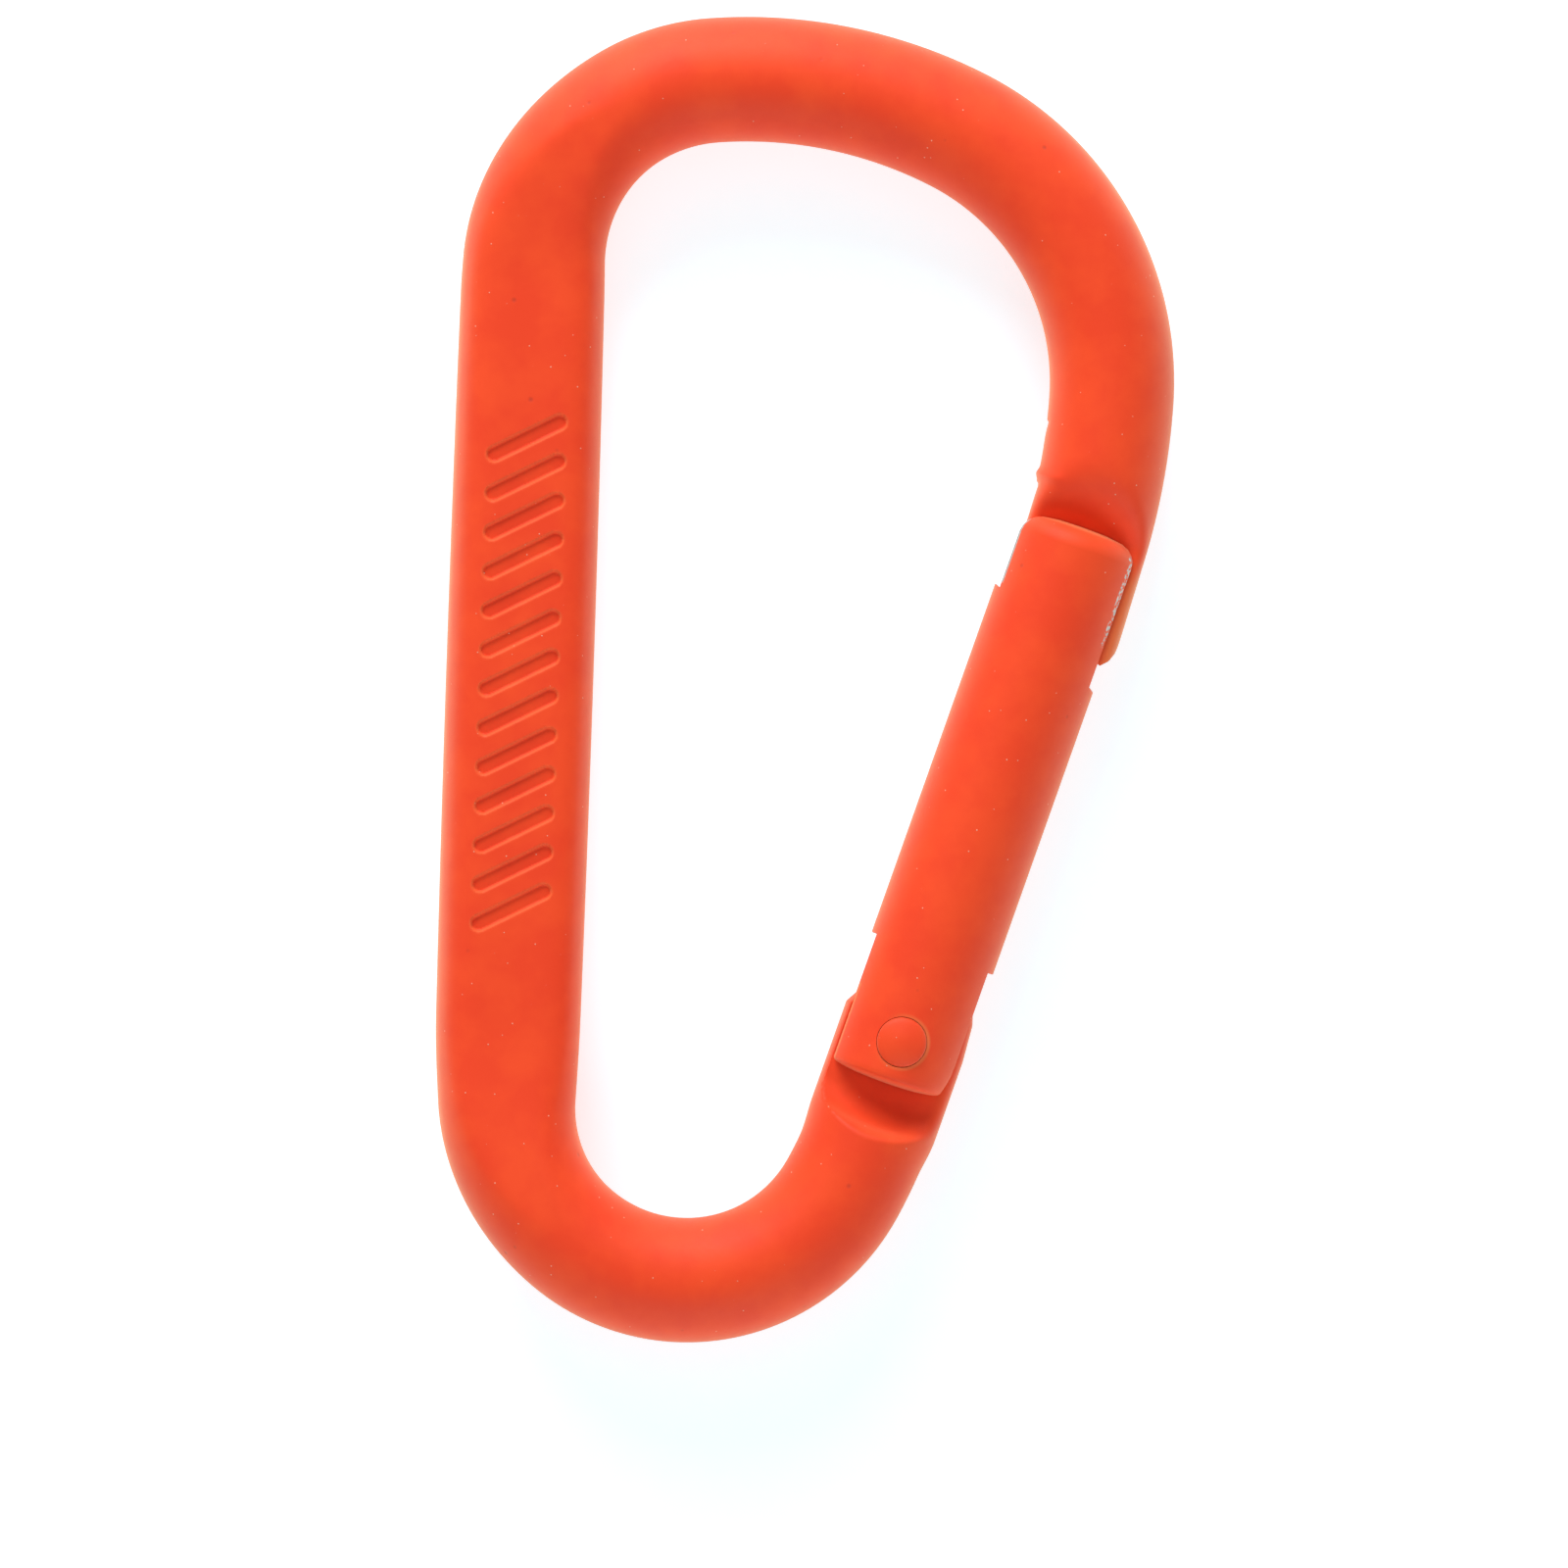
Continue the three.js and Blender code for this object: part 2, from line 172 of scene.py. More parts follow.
def press(point):
    """Where the press leaves a point of the round bar, near the spine."""
    side = 1 if point.y > spine_middle else -1
    straight_end, radius, fade_from, fade_to = PRESS_ENDS[side]
    past = (point.y - straight_end) * side
    middle, inward, station = Vector((spine_foot.x, point.y)), Vector((1, 0)), past
    if past > 0:
        centre = Vector((spine_foot.x + radius, straight_end))
        inward = (centre - point.xy).normalized()
        middle = centre - inward * radius
        station = radius * math.atan2(past, centre.x - point.x)
    pressed = 1 - smooth_step(station, fade_from, fade_to)
    from_middle = (point.y - spine_middle) / (spine_head.y - spine_foot.y) * 2
    widen = PRESS_WIDEN + PRESS_BARREL * max(0.0, 1 - from_middle**2)
    offset = (point.xy - middle).dot(inward)
    level = middle + inward * (offset * (1 + widen * pressed) - PRESS_SHIFT * pressed)
    limit = BAR_RADIUS + (PRESSED_HALF_THICKNESS - BAR_RADIUS) * pressed
    height = limit_height(point.z - pivot.z, limit, max(LEAST_EDGE, PRESS_EDGE * pressed))
    return Vector((*level, pivot.z + height))


# The tongues, in the gate's frame. A round-nosed cutter leaves each flat, with a slope up to the round bar.
# An outline's points are (distance along the gate, half width or distance across it).
TONGUE_REACH = 6
TONGUE_HALF_THICKNESS = 1.35
TONGUE_HOLE_RADIUS = 1.27

# The hinge tongue: a fillet and a steep wall stand behind the flat. The tongue is cut away on its inner
# corner, which pushes the plunger back as the gate opens.
HINGE_SHAPED_FROM, HINGE_SHAPED_TO = -9, 5
HINGE_WIDE_FROM, HINGE_WIDE_TO = -7.5, -5
HINGE_TONGUE_HALF_WIDTH = 3.93
HINGE_FLAT_END, HINGE_FLAT_BOW = -3.7, 0.6
HINGE_FILLET, HINGE_FILLET_SHARE = 1.8, 0.97
HINGE_WALL_SLOPE = 3
HINGE_EDGE_INNER, HINGE_EDGE_OUTER = 0.12, 1.1
HINGE_EDGE_FROM = -3.6
HINGE_INNER_OUTLINE = [(1.2, 3.93), (1.95, 3.5), (HINGE_TONGUE_END, 2.2)]
HINGE_OUTER_OUTLINE = [(0.0, 3.93), (2.3, 3.75), (3.2, 3.45), (HINGE_TONGUE_END, 2.9)]

# The nose tongue: the slope behind the flat is long and soft, the end is slanted, and the inner side is
# trimmed by a die that leaves a small burr.
NOSE_SHAPED_FROM = 24
NOSE_FLAT_END, NOSE_RISE_END = 32.4, 38.2
NOSE_RISE_POWER = 0.8
NOSE_TONGUE_EDGE = 0.8
NOSE_END_OUTER, NOSE_END_INNER = 25.2, 28.0
NOSE_SLANT_FROM = 31.5
NOSE_OUTER_OUTLINE = [(25.1, 3.0), (25.3, 3.75), (25.7, 4.12), (26.3, 4.33), (27.0, 4.39), (28.5, 4.39)]
NOSE_OUTER_EDGE = 0.05
NOSE_TRIM = [(24.0, -3.42), (34.4, -3.42), (34.75, -4.1)]
NOSE_TRIM_EDGE = 0.15
NOSE_BURR_SIDE = -2
NOSE_BURR_PLACE, NOSE_BURR_REACH, NOSE_BURR_HEIGHT = 35.0, 0.28, 0.16
nose_sweep_end = (to_gate_frame @ stretch_ends["nose tongue"]).y


def along_outline(outline, station):
    """The value at a station along an outline of (station, value) points, held at its ends."""
    before = outline[0]
    for point in outline:
        if station <= point[0]:
            break
        before = point
    if point[0] <= before[0] or station >= point[0]:
        return point[1]
    share = max(0.0, (station - before[0]) / (point[0] - before[0]))
    return before[1] + (point[1] - before[1]) * share


def hinge_scoop(past_flat):
    """How high the cutter leaves the metal past the hinge tongue's flat: a fillet, then a wall."""
    curve = HINGE_FILLET * HINGE_FILLET_SHARE
    rise = HINGE_FILLET - math.sqrt(HINGE_FILLET**2 - min(max(past_flat, 0.0), curve) ** 2)
    return TONGUE_HALF_THICKNESS + rise + max(0.0, past_flat - curve) * HINGE_WALL_SLOPE


def nose_scoop(along):
    """How high the cutter leaves the metal along the nose: steep next to the flat, then ever softer."""
    share = min(1.0, max(0.0, (along - NOSE_FLAT_END) / (NOSE_RISE_END - NOSE_FLAT_END)))
    rise = smooth_step(share**NOSE_RISE_POWER, 0, 1)
    return TONGUE_HALF_THICKNESS + (BAR_RADIUS + NOSE_TONGUE_EDGE - TONGUE_HALF_THICKNESS) * rise


def shape_hinge_tongue(point):
    """Where the cutters leave a point of the swept bar at the hinge, in the gate's frame."""
    across, along, up = point
    wider = HINGE_TONGUE_HALF_WIDTH / BAR_RADIUS - 1
    across *= 1 + wider * smooth_step(along, HINGE_WIDE_FROM, HINGE_WIDE_TO)
    outline = HINGE_OUTER_OUTLINE if across > 0 else HINGE_INNER_OUTLINE
    across *= along_outline(outline, along) / HINGE_TONGUE_HALF_WIDTH
    edge_change = HINGE_EDGE_OUTER - HINGE_EDGE_INNER
    edge = HINGE_EDGE_INNER + edge_change * smooth_step(across, HINGE_EDGE_FROM, 0)
    flat_end = HINGE_FLAT_END + HINGE_FLAT_BOW * (across / HINGE_TONGUE_HALF_WIDTH) ** 2
    up = limit_height(up, hinge_scoop(flat_end - along), edge)
    return Vector((across, along, up))


def slant(across, along):
    """Where along the gate a point of the swept bar goes, so that the nose tongue's square end is slanted."""
    if along > NOSE_SLANT_FROM:
        return along
    end = NOSE_END_OUTER + (NOSE_END_INNER - NOSE_END_OUTER) * (0.5 - across / 2 / BAR_RADIUS)
    share = (NOSE_SLANT_FROM - along) / (NOSE_SLANT_FROM - nose_sweep_end)
    return NOSE_SLANT_FROM - share * (NOSE_SLANT_FROM - end)


def shape_nose_tongue(point):
    """Where the cutter and the die leave a point of the swept bar at the nose, in the gate's frame."""
    across, along, up = point
    slanted = slant(across, along)
    if slanted < NOSE_OUTER_OUTLINE[-1][0]:
        across = soft_min(across, along_outline(NOSE_OUTER_OUTLINE, slanted), NOSE_OUTER_EDGE)
    across = -soft_min(-across, -along_outline(NOSE_TRIM, slanted), NOSE_TRIM_EDGE)
    along = slant(across, along)
    if across < NOSE_BURR_SIDE:
        across -= NOSE_BURR_HEIGHT * math.exp(-(((along - NOSE_BURR_PLACE) / NOSE_BURR_REACH) ** 2))
    up = limit_height(up, nose_scoop(along), NOSE_TONGUE_EDGE)
    return Vector((across, along, up))


for vertex in bar.data.vertices:
    if vertex.co.x < spine_foot.x + WIDE_END_RADIUS:
        vertex.co = press(vertex.co)
    in_gate = to_gate_frame @ vertex.co
    if abs(in_gate.x) < TONGUE_REACH and HINGE_SHAPED_FROM < in_gate.y < HINGE_SHAPED_TO:
        vertex.co = gate_frame @ shape_hinge_tongue(in_gate)
    elif abs(in_gate.x) < TONGUE_REACH and NOSE_SHAPED_FROM < in_gate.y < NOSE_RISE_END:
        vertex.co = gate_frame @ shape_nose_tongue(in_gate)

# A row of plain slanted grip flutes is pressed into the upper flat, with soft rims.
FLUTE_COUNT = 13
FLUTE_PITCH = 2.35
FLUTE_HALF_LENGTH = 2.3
FLUTE_HALF_WIDTH = 0.45
FLUTE_SLANT = math.radians(28)
FLUTE_DEPTH = 0.25
FLUTE_RIM = 0.08
ROW_MARGIN = 0.4
FLAT_DEPTH = 0.1
flat_middle = spine_foot.x - PRESS_SHIFT
flat_top = pivot.z + PRESSED_HALF_THICKNESS
flute_turn = Matrix.Rotation(-FLUTE_SLANT, 2)
flute_reach = FLUTE_HALF_LENGTH / math.cos(FLUTE_SLANT) - FLUTE_HALF_WIDTH


def from_flute(point):
    """How far a point of the flat is outside the rim of the nearest flute, less than 0 inside it."""
    nearest = math.inf
    for number in range(FLUTE_COUNT):
        middle_y = (number - (FLUTE_COUNT - 1) / 2) * FLUTE_PITCH
        offset = flute_turn @ Vector((point.x - flat_middle, point.y - middle_y))
        offset.x = max(0.0, abs(offset.x) - flute_reach)
        nearest = min(nearest, offset.length - FLUTE_HALF_WIDTH)
    return nearest


def on_flat(point, depth):
    """Whether a point is on the strip of the upper flat that the flutes take, down to a depth."""
    return point.z > flat_top - depth and abs(point.x - flat_middle) < FLUTE_HALF_LENGTH + ROW_MARGIN


bpy.ops.object.mode_set(mode="EDIT")
bpy.ops.mesh.select_mode(type="FACE")
bpy.ops.mesh.select_all(action="DESELECT")
bpy.ops.object.mode_set(mode="OBJECT")
row_reach = FLUTE_COUNT / 2 * FLUTE_PITCH + FLUTE_HALF_WIDTH
for face in bar.data.polygons:
    face.select = on_flat(face.center, FLAT_DEPTH) and abs(face.center.y) < row_reach
bpy.ops.object.mode_set(mode="EDIT")
bpy.ops.mesh.subdivide(number_cuts=2)
bpy.ops.object.mode_set(mode="OBJECT")
for vertex in bar.data.vertices:
    if vertex.select:
        vertex.co.z -= FLUTE_DEPTH * (1 - smooth_step(from_flute(vertex.co), -FLUTE_RIM, FLUTE_RIM))


def pick(piece):
    """Selects one piece, and nothing else."""
    bpy.ops.object.select_all(action="DESELECT")
    bpy.context.view_layer.objects.active = piece
    piece.select_set(True)


def cut_away(piece, cutter):
    """Cuts the cutter's shape out of a piece, and throws the cutter away."""
    cut = piece.modifiers.new("cut", "BOOLEAN")
    cut.operation = "DIFFERENCE"
    cut.solver = "EXACT"
    cut.object = cutter
    pick(piece)
    bpy.ops.object.modifier_apply(modifier=cut.name)
    bpy.data.objects.remove(cutter)


def drill(piece, radius, depth, middle, rotation=(0, 0, 0), sides=64):
    """Cuts a round hole out of a piece, of a depth that is measured through its middle."""
    bpy.ops.object.select_all(action="DESELECT")
    bpy.ops.mesh.primitive_cylinder_add(
        vertices=sides, radius=radius, depth=depth, location=middle, rotation=rotation
    )
    cut_away(piece, bpy.context.object)


SMOOTH_BELOW = math.radians(35)


def settle(piece, place=Matrix()):
    """Puts a piece in its place and turns it from millimetres to metres, with its object at the origin."""
    pick(piece)
    piece.matrix_world = Matrix.Scale(MM, 4) @ place
    bpy.ops.object.transform_apply(location=True, rotation=True, scale=True)
    bpy.ops.object.shade_smooth_by_angle(angle=SMOOTH_BELOW)


drill(bar, TONGUE_HOLE_RADIUS, TONGUE_HALF_THICKNESS * 4, pivot)

# Painted highlight: the colour is paled in a thin line round the flutes' rims, standing in for the light that
# catches them, and along the outer edge of the nose tongue, to lift that strip out of the gate's shadow.
HIGHLIGHT_RIM = 0.13
HIGHLIGHT_RIM_SHARE = 0.5
LIT_TONGUE_FROM, LIT_TONGUE_TO = 3.2, 4.0
LIT_TONGUE_FADE = 30
painted_highlight = bar.data.attributes.new("painted_highlight", "FLOAT", "POINT")
for vertex in bar.data.vertices:
    across, along, up = to_gate_frame @ vertex.co
    thin_coat_and_highlight = 0.0
    if on_flat(vertex.co, FLUTE_DEPTH + FLAT_DEPTH):
        # Painted highlight round each flute's rim.
        thin_coat_and_highlight = max(0.0, 1 - abs(from_flute(vertex.co) - FLUTE_RIM / 2) / HIGHLIGHT_RIM) * HIGHLIGHT_RIM_SHARE
    elif NOSE_SHAPED_FROM < along < NOSE_FLAT_END and abs(across) < TONGUE_REACH:
        # Painted light on the nose tongue's outer strip, which the gate shades.
        thin_coat_and_highlight = smooth_step(across, LIT_TONGUE_FROM, LIT_TONGUE_TO)
        thin_coat_and_highlight *= 1 - smooth_step(along, LIT_TONGUE_FADE, NOSE_FLAT_END)
    painted_highlight.data[vertex.index].value = thin_coat_and_highlight
settle(bar)

# Where a Mix node that mixes colours has its factor, its two colours and its result.
FACTOR, FIRST_COLOUR, SECOND_COLOUR, MIXED = 0, 6, 7, 2


def add_node(tree, kind, inputs=(), **settings):
    """Adds a node with its settings, and gives each named or numbered input a value or a link."""
    node = tree.nodes.new("ShaderNode" + kind)
    for name, value in settings.items():
        setattr(node, name, value)
    for name, value in dict(inputs).items():
        if isinstance(value, bpy.types.NodeSocket):
            tree.links.new(value, node.inputs[name])
        else:
            node.inputs[name].default_value = value
    return node


def srgb(code):
    """A hex colour as linear light, with full alpha."""
    channels = [int(code[i:i + 2], 16) / 255 for i in (1, 3, 5)]
    linear = [c / 12.92 if c <= 0.04045 else ((c + 0.055) / 1.055) ** 2.4 for c in channels]
    return (*linear, 1)


def grain(size_mm):
    """The texture scale at which one feature is about this many millimetres across."""
    return 1 / (size_mm * MM)


def powder_coat(name, thin_coat_and_highlight=None, worn=None):
    """Matte polyester powder coat over aluminium, sprayed dry and baked: a chalky orange skin with a faint
    orange peel, uneven thickness that mottles the colour, dust nibs that stand out light, and small dark
    sunken spots. It is paler where the powder is thin and where a highlight is painted, by a value from 0 to
    1, and worn adds bare metal over it."""
    material = bpy.data.materials.new(name)
    material.use_nodes = True
    tree = material.node_tree
    tree.nodes.clear()
    where = add_node(tree, "TexCoord").outputs["Object"]
    # Thicker and thinner patches of powder, a few millimetres wide, are a little darker and lighter.
    patches = add_node(
        tree, "TexNoise", {"Vector": where, "Scale": grain(3.2), "Detail": 3, "Roughness": 0.55}
    ).outputs["Fac"]
    shade = add_node(tree, "ValToRGB", {"Fac": patches})
    shade.color_ramp.elements[0].position = 0.38
    shade.color_ramp.elements[0].color = srgb("#F53F12")
    shade.color_ramp.elements[1].position = 0.64
    shade.color_ramp.elements[1].color = srgb("#FB4916")
    # Dust nibs baked into the skin: light points about 3 mm apart and a tenth of a millimetre wide.
    nib_cells = add_node(tree, "TexVoronoi", {"Vector": where, "Scale": grain(0.6)})
    nib_near = add_node(
        tree, "MapRange", {"Value": nib_cells.outputs["Distance"], "From Min": 0.04, "From Max": 0.09,
                           "To Min": 1, "To Max": 0}
    ).outputs["Result"]
    nib_pick = add_node(
        tree, "Math", {0: nib_cells.outputs["Color"], 1: 0.66}, operation="GREATER_THAN"
    ).outputs["Value"]
    nibs = add_node(tree, "Math", {0: nib_near, 1: nib_pick}, operation="MULTIPLY").outputs["Value"]
    # Sunken spots where gas came out of the metal: sparse, dark and up to a third of a millimetre wide.
    pit_cells = add_node(tree, "TexVoronoi", {"Vector": where, "Scale": grain(1.5)})
    pit_near = add_node(
        tree, "MapRange", {"Value": pit_cells.outputs["Distance"], "From Min": 0.0, "From Max": 0.13,
                           "To Min": 1, "To Max": 0}
    ).outputs["Result"]
    pit_pick = add_node(
        tree, "Math", {0: pit_cells.outputs["Color"], 1: 0.76}, operation="GREATER_THAN"
    ).outputs["Value"]
    pits = add_node(tree, "Math", {0: pit_near, 1: pit_pick}, operation="MULTIPLY").outputs["Value"]
    pitted = add_node(
        tree, "Mix", {FACTOR: pits, FIRST_COLOUR: shade.outputs["Color"], SECOND_COLOUR: srgb("#CC3A20")},
        data_type="RGBA",
    ).outputs[MIXED]
    colour = add_node(
        tree, "Mix", {FACTOR: nibs, FIRST_COLOUR: pitted, SECOND_COLOUR: srgb("#FFB498")}, data_type="RGBA"
    ).outputs[MIXED]
    if thin_coat_and_highlight:
        # Where the powder is thin, and where a highlight is painted, the colour is more than half way to a
        # paler orange.
        thin_and_highlight_share = add_node(
            tree, "Math", {0: thin_coat_and_highlight(tree, where), 1: 0.6}, operation="MULTIPLY"
        ).outputs["Value"]
        colour = add_node(
            tree, "Mix", {FACTOR: thin_and_highlight_share, FIRST_COLOUR: colour, SECOND_COLOUR: srgb("#F48A4C")},
            data_type="RGBA",
        ).outputs[MIXED]
    # Orange peel of waves 0.7 mm wide, and the powder's own tooth. Its grains of about 0.04 mm are too fine
    # to show, so they are drawn 0.13 mm wide.
    peel = add_node(
        tree, "TexNoise", {"Vector": where, "Scale": grain(0.7), "Detail": 2, "Roughness": 0.5}
    ).outputs["Fac"]
    tooth = add_node(
        tree, "TexNoise", {"Vector": where, "Scale": grain(0.13), "Detail": 2, "Roughness": 0.6}
    ).outputs["Fac"]
    gloss = add_node(
        tree, "MapRange", {"Value": tooth, "To Min": 0.52, "To Max": 0.7}
    ).outputs["Result"]
    waves = add_node(
        tree, "Bump", {"Height": peel, "Strength": 0.35, "Distance": 0.02 * MM}
    ).outputs["Normal"]
    teeth = add_node(
        tree, "Bump", {"Height": tooth, "Strength": 0.35, "Distance": 0.006 * MM, "Normal": waves}
    ).outputs["Normal"]
    raised = add_node(
        tree, "Bump", {"Height": nibs, "Strength": 0.6, "Distance": 0.04 * MM, "Normal": teeth}
    ).outputs["Normal"]
    sunk = add_node(
        tree, "Bump", {"Height": pits, "Strength": 0.5, "Distance": 0.04 * MM, "Normal": raised}, invert=True
    ).outputs["Normal"]
    # The sheen is the chalky skin's pale veil where light grazes it.
    skin = add_node(
        tree, "BsdfPrincipled",
        {"Base Color": colour, "Roughness": gloss, "IOR": 1.5, "Specular IOR Level": 0.35, "Normal": sunk,
         "Sheen Weight": 0.8, "Sheen Roughness": 0.45, "Sheen Tint": srgb("#FFC496")},
    )
    surface = skin.outputs["BSDF"]
    if worn:
        surface = worn(tree, where, tooth, surface)
    add_node(tree, "OutputMaterial", {"Surface": surface})
    return material


def painted_highlight_on_bar(tree, where):
    """Where the bar's colour is paled for a painted highlight, as its points say."""
    return add_node(tree, "Attribute", attribute_name="painted_highlight").outputs["Fac"]


bar.data.materials.append(powder_coat("powder_coat_on_bar", painted_highlight_on_bar))
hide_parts("frame")
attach(bar, "frame")

# --------------------------------------------------------------------------------------------------------
# The gate. A short, slightly thicker aluminium rod with crowned ends, sawn to ears that straddle the hinge
# tongue at one end and the nose tongue at the other, with a blind bore for the plunger and its spring and
# flat spot faces for the heads of the rivet that it turns on.
# --------------------------------------------------------------------------------------------------------

GATE_RADIUS = 3.88
GATE_SIDES = 96
SLOT_WIDTH = 3.1
SLOT_CUTTER = 12
HINGE_SLOT_FLOOR = 5.6
NOSE_CUTTER_MIDDLE, NOSE_CUTTER_WIDTH, NOSE_CUTTER_LENGTH = 30, 14, 20
NOSE_SLOT_FLOOR = [(-3.7, 27.8), (3.7, 23.75)]
BORE_RADIUS, BORE_SIDES = 1.3, 48
BORE_START, BORE_END = HINGE_SLOT_FLOOR - 1, 20
EAR_HOLE_RADIUS = 1.25
SPOT_FACE_RADIUS, SPOT_FACE_HEIGHT, SPOT_FACE_CUT = 1.53, 3.36, 2
GATE_EDGE, EDGE_ABOVE = 0.07, math.radians(40)
# The crowned and rounded ends as (distance along the gate, radius).
GATE_PROFILE = [
    (-2.72, 0.4), (-2.7, 1.2), (-2.62, 2.5), (-2.5, 3.3), (-2.4, 3.68), (-2.32, 3.82), (-2.2, GATE_RADIUS),
    (-1.9, GATE_RADIUS), (-1.5, GATE_RADIUS), (-1.0, GATE_RADIUS), (-0.4, GATE_RADIUS),
    (31.45, GATE_RADIUS), (31.8, 3.82), (32.15, 3.64), (32.42, 3.36), (32.6, 3.0), (32.74, 2.2), (32.8, 1.2),
    (32.82, 0.4),
]
# The ears are dressed back on the outer side of the hinge, by a share of the width at this distance.
DRESSED_FROM, DRESSED_SHARE, DRESSED_LENGTH = -0.4, 0.1, 2
ALONG, UP = Vector((0, 1, 0)), Vector((0, 0, 1))
ALONG_TURN = (math.pi / 2, 0, 0)


def turn_profile(piece, profile, axis):
    """Sweeps the selected ring into a turned shape, through rings at each (distance, radius)."""
    place, radius = profile[0]
    for next_place, next_radius in profile[1:]:
        step = axis * (next_place - place)
        bpy.ops.mesh.extrude_edges_move(TRANSFORM_OT_translate={"value": step})
        middle = axis * next_place
        bpy.ops.transform.resize(value=(next_radius / radius,) * 3, center_override=middle)
        place, radius = next_place, next_radius
    close_up()


gate = add_circle("gate_rod", GATE_PROFILE[0][1], GATE_SIDES, ALONG * GATE_PROFILE[0][0], ALONG_TURN)
turn_profile(gate, GATE_PROFILE, ALONG)
for vertex in gate.data.vertices:
    if vertex.co.x > 0 and vertex.co.y < DRESSED_FROM:
        vertex.co.x *= 1 - DRESSED_SHARE * ((vertex.co.y - DRESSED_FROM) / DRESSED_LENGTH) ** 2

bpy.ops.object.select_all(action="DESELECT")
bpy.ops.mesh.primitive_cube_add(
    size=1, location=(0, HINGE_SLOT_FLOOR - SLOT_CUTTER / 2, 0), scale=(SLOT_CUTTER, SLOT_CUTTER, SLOT_WIDTH)
)
cut_away(gate, bpy.context.object)

bpy.ops.object.select_all(action="DESELECT")
bpy.ops.mesh.primitive_cube_add(
    size=1, location=(0, NOSE_CUTTER_MIDDLE, 0), scale=(NOSE_CUTTER_WIDTH, NOSE_CUTTER_LENGTH, SLOT_WIDTH)
)
nose_cutter = bpy.context.object
bpy.ops.object.transform_apply(location=True, rotation=True, scale=True)
(inner_x, inner_y), (outer_x, outer_y) = NOSE_SLOT_FLOOR
for vertex in nose_cutter.data.vertices:
    if vertex.co.y < NOSE_CUTTER_MIDDLE:
        share = (vertex.co.x - inner_x) / (outer_x - inner_x)
        vertex.co.y = inner_y + (outer_y - inner_y) * share
cut_away(gate, nose_cutter)

bore_middle = (0, (BORE_END + BORE_START) / 2, 0)
drill(gate, BORE_RADIUS, BORE_END - BORE_START, bore_middle, ALONG_TURN, BORE_SIDES)

rounding = gate.modifiers.new("rounding", "BEVEL")
rounding.width = GATE_EDGE
rounding.segments = 3
rounding.limit_method = "ANGLE"
rounding.angle_limit = EDGE_ABOVE
rounding.use_clamp_overlap = False
bpy.context.view_layer.objects.active = gate
bpy.ops.object.modifier_apply(modifier=rounding.name)

drill(gate, EAR_HOLE_RADIUS, GATE_RADIUS * 3, (0, 0, 0))
for side in (-1, 1):
    drill(gate, SPOT_FACE_RADIUS, SPOT_FACE_CUT, (0, 0, side * (SPOT_FACE_HEIGHT + SPOT_FACE_CUT / 2)))
settle(gate, gate_frame)
even = gate.modifiers.new("even_shading", "WEIGHTED_NORMAL")
even.keep_sharp = True
bpy.ops.object.modifier_apply(modifier=even.name)

# Where the gate's coating is thin or rubbed through, and where a highlight is painted on the rim of the nose
# end, as (lowest, highest, fade) in the gate's frame. A rubbed ear edge is just over the slot, whose half
# height is 1.55.
INNER_SIDE, OUTER_SIDE = (-4.0, -3.2, 0.05), (3.2, 4.0, 0.05)
THIN_RING, THIN_RING_FROM, THIN_RING_TO = (1.5, 1.62, 0.16), -1.6, 1.6
# Painted highlight: the nose end's rounded rim is paled to stand in for the light that it catches.
HIGHLIGHT_NOSE_RIM = (32.64, 33.0, 0.1)
THIN_EAR_HEIGHT, THIN_EAR_LENGTH = (1.5, 1.74, 0.1), (-2.4, 2.4, 0.2)
FLECKS_HEIGHT, FLECKS_LENGTH = (1.5, 1.98, 0.08), (26.6, 31.9, 0.3)
LINE_HEIGHT, LINE_LENGTH = (1.5, 1.7, 0.05), (28.2, 32.2, 0.2)
# How much of a pattern that runs from 0 to 1 is bare metal.
FLECKS_CHIPPED, FLECKS_PATCHY, LINE_CHIPPED = (0.52, 1.0, 0.04), (0.4, 1.0, 0.06), (0.38, 1.0, 0.04)


def patch(tree, *bounds):
    """1 where each value is between its limits, and falling to 0 over the fade outside them. Each of the
    bounds is a value with its (lowest, highest, fade)."""
    inside = 1.0
    for value, (lowest, highest, fade) in bounds:
        middle, half = (lowest + highest) / 2, (highest - lowest) / 2
        signed = add_node(tree, "Math", {0: value, 1: middle}, operation="SUBTRACT").outputs["Value"]
        off = add_node(tree, "Math", {0: signed}, operation="ABSOLUTE").outputs["Value"]
        share = add_node(
            tree, "MapRange", {"Value": off, "From Min": half, "From Max": half + fade,
                               "To Min": 1, "To Max": 0}
        ).outputs["Result"]
        inside = add_node(tree, "Math", {0: inside, 1: share}, operation="MULTIPLY").outputs["Value"]
    return inside


def gate_coordinates(tree, where):
    """A point's distances across, along and above or below the gate's middle, in millimetres."""
    offset = Matrix.Rotation(gate_lean, 3, "Z") @ -pivot
    in_gate = add_node(
        tree, "Mapping",
        {"Vector": where, "Location": offset, "Rotation": (0, 0, gate_lean), "Scale": (1 / MM,) * 3},
    ).outputs["Vector"]
    across, along, up = add_node(tree, "SeparateXYZ", {0: in_gate}).outputs
    height = add_node(tree, "Math", {0: up}, operation="ABSOLUTE").outputs["Value"]
    return across, along, height


